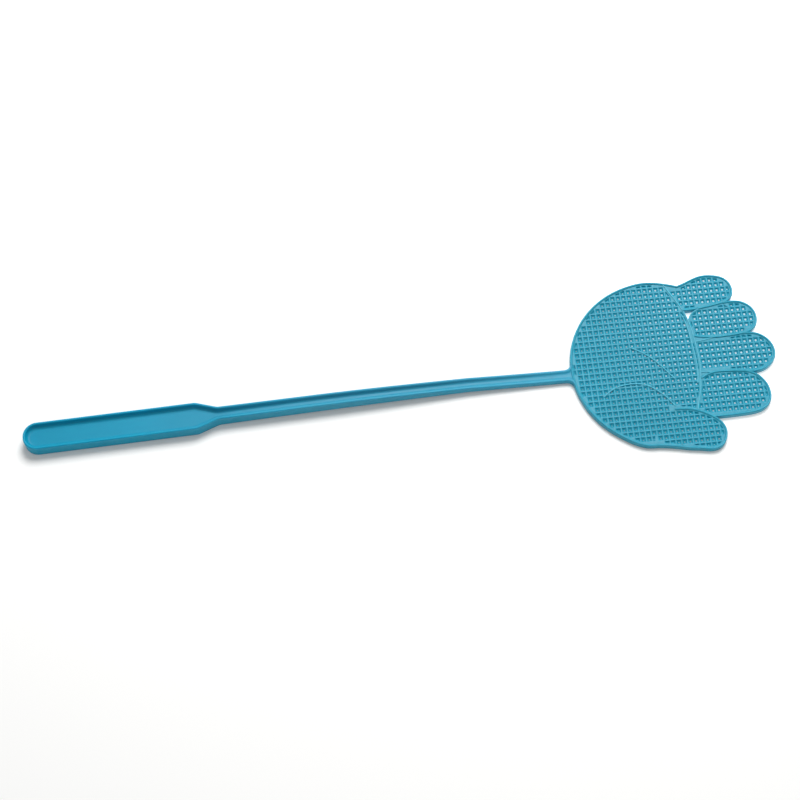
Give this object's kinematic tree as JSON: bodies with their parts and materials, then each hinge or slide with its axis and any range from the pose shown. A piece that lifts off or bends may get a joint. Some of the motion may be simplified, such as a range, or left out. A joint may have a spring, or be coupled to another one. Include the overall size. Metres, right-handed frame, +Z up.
{
  "type": "fly swatter",
  "caption": "Hand-shaped fly swatter moulded in teal plastic: pierced palm-and-finger blade with raised rims on a slim, springy channel shaft and a hollow-topped handle.",
  "frame": {"origin": "centre of the bounding box on the surface it lies on", "axes": "+X from the handle's end towards the fingertips, +Y across towards the little finger, +Z up out of the handle's open side and the blade's front"},
  "size_m": [0.4953, 0.127, 0.0096],
  "materials": {
    "handle": "satin moulded polypropylene, fine even texture",
    "shaft": "satin moulded polypropylene",
    "blade_rim": "satin moulded polypropylene, slightly polished on top",
    "blade_grille": "satin moulded polypropylene, thin translucent webs",
    "blade_rib": "satin moulded polypropylene"
  },
  "bodies": {
    "grip": {"handle_floor": "handle", "handle_rim": "handle", "shoulder_floor": "handle", "shoulder_left_wall": "handle", "shoulder_right_wall": "handle", "shaft_floor_rear": "shaft", "shaft_left_wall_rear": "shaft", "shaft_right_wall_rear": "shaft"},
    "head": {"shaft_floor_front": "shaft", "shaft_left_wall_front": "shaft", "shaft_right_wall_front": "shaft", "neck": "shaft", "palm_rim": "blade_rim", "palm_grille": "blade_grille", "thumb_rim": "blade_rim", "thumb_grille": "blade_grille", "little_finger_rim": "blade_rim", "little_finger_grille": "blade_grille", "ring_finger_rim": "blade_rim", "ring_finger_grille": "blade_grille", "middle_finger_rim": "blade_rim", "middle_finger_grille": "blade_grille", "index_finger_rim": "blade_rim", "index_finger_grille": "blade_grille", "finger_crease_rib": "blade_rib", "ring_finger_root_rib": "blade_rib", "middle_finger_root_rib": "blade_rib", "index_finger_root_rib": "blade_rib", "ring_root_web": "blade_grille", "index_root_web": "blade_grille", "palm_edge_rib": "blade_rib", "head_line_rib": "blade_rib", "life_line_rib": "blade_rib"}
  },
  "joints": [
    {"name": "shaft_flex", "type": "hinge", "parent": "grip", "child": "head", "pos_m": [-0.02265, 0.0037, 0.0052], "axis": [0, 1, 0], "range_deg": [-25, 25], "stiffness_Nm_per_rad": 0.8}
  ]
}
